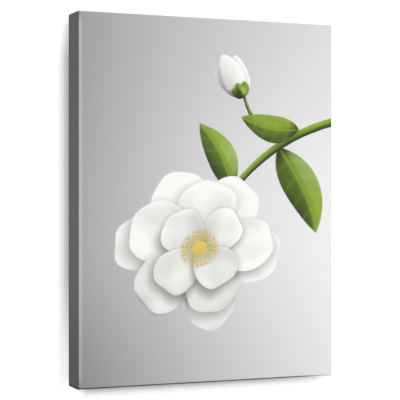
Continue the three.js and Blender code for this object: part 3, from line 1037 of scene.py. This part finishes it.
# Where the wall glows with painted light beside the picture, and where painted shadow darkens it, in metres
# from its left edge, its top or its foot. A ramp is from, to and then its first and last value.
wallPaintedLight = {
    "beside": (0.010, -0.002),
    "top": (-0.055, -0.005), "topGlow": 0.30, "topEdge": (-0.013, -0.005, 0.0, 0.2),
    "foot": (0.140, 0.005), "footGlow": (0.0005, -0.010, 0.43, 0.16),
    "farther": (-0.0010, -0.0065, 0.0, 0.085),
    "corner": (0.009, -0.003), "cornerGlow": (0.017, 0.005, 0.0, 0.34),
    # Painted shadow under the foot: here the under glow takes painted light away.
    "under": (-0.0125, -0.006), "underLeft": (0.004, 0.022),
    "underRight": (pictureWide + 0.020, 0.2335), "underGlow": -0.20,  # this one takes light away
    # A soft painted shadow under the right end of the foot, darkening the wall's colour: ramps along it,
    # ramps up to it, and how dark it is.
    "endAlong": ((0.2985, 0.3070), (0.342, 0.307)), "endUp": ((-0.017, -0.005), (0.010, -0.002)),
    "endShade": 0.30,
}


def showFrontOnly(shader):
    back = addNode(shader, "ShaderNodeNewGeometry").outputs["Backfacing"]
    clear = addNode(shader, "ShaderNodeBsdfTransparent").outputs[0]
    either = addFed("ShaderNodeMixShader", (back, shader.outputs[0], clear))[0]
    feed(shader.id_data.nodes["Material Output"].inputs["Surface"], either)


def makeWallPaint(light):
    material, shader = newMaterial("wallPaint", {
        "Roughness": 1.0, "Specular IOR Level": 0.0, "Emission Color": plainWhite,
    })
    x, _, z = splitVector(objectPlace(shader))
    fromLeft = plus(x, halfWide)
    fromFoot = minus(z, clothLow.z)
    fromTop = minus(z, clothHigh.z)
    # Painted light: left of the picture the wall glows more, most near its top and foot and round its lower
    # left corner. Under the foot the glow is taken away as painted shadow, and far from the picture the wall
    # glows plain white.
    top = smooth(fromTop, *light["top"])
    foot = smooth(fromFoot, *light["foot"])
    footGlow = times(foot, smooth(fromLeft, *light["footGlow"]))
    glow = timesPlus(top, light["topGlow"], plus(footGlow, smooth(fromTop, *light["topEdge"])))
    glow = times(glow, smooth(fromLeft, *light["beside"]))
    between = minus(1.0, calc("MAXIMUM", top, foot))
    glow = timesPlus(between, smooth(fromLeft, *light["farther"]), glow)
    cornerLeft, cornerFoot = light["corner"]
    fromCorner = flatLength(minus(fromLeft, cornerLeft), minus(fromFoot, cornerFoot))
    glow = plus(glow, smooth(fromCorner, *light["cornerGlow"]))
    under = window(fromLeft, light["underLeft"], light["underRight"])
    under = times(smooth(fromFoot, *light["under"]), under)
    glow = timesPlus(under, light["underGlow"], glow)
    fromMiddle = flatLength(x, minus(z, middleZ))
    glow = plus(glow, smooth(fromMiddle, *room["wallFade"], room["glow"], 1.0))
    shade = times(window(fromLeft, *light["endAlong"]), window(fromFoot, *light["endUp"]))
    shade = times(shade, light["endShade"])
    feedAll(shader, {
        "Base Color": darken(shade, (room["wallTone"],) * 3 + (1,)),
        "Emission Strength": times(glow, minus(1.0, shade)),
    })
    showFrontOnly(shader)
    return material


def makeFloorPaint():
    material, shader = newMaterial("floorPaint", {
        "Base Color": (room["floorTone"],) * 3 + (1,), "Roughness": 0.9, "Emission Color": plainWhite,
    })
    x, y, _ = splitVector(objectPlace(shader))
    glow = smooth(flatLength(x, y), *room["floorFade"], room["floorGlow"], 1.0)
    feed(shader.inputs["Emission Strength"], glow)
    showFrontOnly(shader)
    return material


def makePlane(name, start, right, up, material):
    # A square from its first corner and the two sides that leave it. No ray but the camera's sees it.
    start, right, up = Vector(start), Vector(right), Vector(up)
    mesh = bpy.data.meshes.new(name)
    mesh.from_pydata([start, start + right, start + right + up, start + up], [], [(0, 1, 2, 3)])
    mesh.materials.append(material)
    made = addObject(name, mesh)
    for ray in ("diffuse", "glossy", "transmission", "shadow"):
        setattr(made, "visible_" + ray, False)


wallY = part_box("bumper_left")[1].y + room["wallGap"]
floorZ = clothLow.z - room["floorDrop"]
wide, far = room["wallSize"], room["floorSize"]
makePlane("wall", (-wide / 2, wallY, floorZ), (wide, 0, 0), (0, 0, wide), makeWallPaint(wallPaintedLight))
makePlane("floor", (-far / 2, -far / 2, floorZ), (far, 0, 0), (0, far, 0), makeFloorPaint())

# The lights: a soft key from a little to the right and above, a fill, and a soft lamp behind for the back
lamps = {
    "key": {"turn": 8.5, "height": 8.5, "distance": 2.5, "size": 1.0, "power": 46},
    "behind": {"turn": 140, "height": 35, "distance": 2.0, "size": 1.0, "power": 26},
}
fillLight = {"strength": 0.35, "fromRight": 0.18, "fromAbove": 0.45}


def addLamp(name, lamp):
    data = bpy.data.lights.new(name, "AREA")
    data.shape = "SQUARE"
    data.size = lamp["size"]
    data.energy = lamp["power"]
    made = addObject(name, data)
    turn, height = math.radians(lamp["turn"]), math.radians(lamp["height"])
    aim = Vector((0, (frontY + backY) / 2, middleZ))
    away = Vector((math.sin(turn) * math.cos(height), -math.cos(turn) * math.cos(height), math.sin(height)))
    made.location = aim + away * lamp["distance"]
    made.rotation_euler = away.to_track_quat("Z", "Y").to_euler()


def addFill(fill):
    # A sky that is brighter to the right and above. The camera sees it plain white.
    world = bpy.data.worlds.new("fill")
    bpy.context.scene.world = world
    world.use_nodes = True
    tree = world.node_tree
    isSeen = addNode(tree, "ShaderNodeLightPath").outputs["Is Camera Ray"]
    x, _, z = splitVector(addNode(tree, "ShaderNodeTexCoord").outputs["Generated"])
    sky = timesPlus(z, fill["fromAbove"], timesPlus(x, fill["fromRight"], 1.0))
    strength = mixValue(isSeen, times(sky, fill["strength"]), 1.0)
    feedAll(tree.nodes["Background"], {"Color": plainWhite, "Strength": strength})


for name, lamp in lamps.items():
    addLamp(name, lamp)
addFill(fillLight)
bpy.context.scene.view_settings.view_transform = "Standard"
bpy.context.scene.view_settings.look = "None"

# The camera: level with the picture's middle, seen from the front left
viewpoint = {
    "turn": math.radians(22.82),
    "lens": 120.0,
    "sensor": 36.0,
    "clip": (0.05, 50),
    "edgeToTheLeft": 0.1300,   # the near upright edge, left of the camera's axis
    "edgeAhead": 1.4314,       # and as far in front of the camera
    "rise": 0.0002,
}
cameraData = bpy.data.cameras.new("camera")
cameraData.lens = viewpoint["lens"]
cameraData.sensor_width = viewpoint["sensor"]
cameraData.clip_start, cameraData.clip_end = viewpoint["clip"]
camera = addObject("camera", cameraData)
toTheRight = Vector((math.cos(viewpoint["turn"]), -math.sin(viewpoint["turn"]), 0))
ahead = Vector((math.sin(viewpoint["turn"]), math.cos(viewpoint["turn"]), 0))
nearEdge = Vector((-halfWide, frontY, middleZ + viewpoint["rise"]))
camera.location = nearEdge + toTheRight * viewpoint["edgeToTheLeft"] - ahead * viewpoint["edgeAhead"]
camera.rotation_euler = (math.pi / 2, 0, -viewpoint["turn"])
bpy.context.scene.camera = camera
print("room, lights and camera ready")
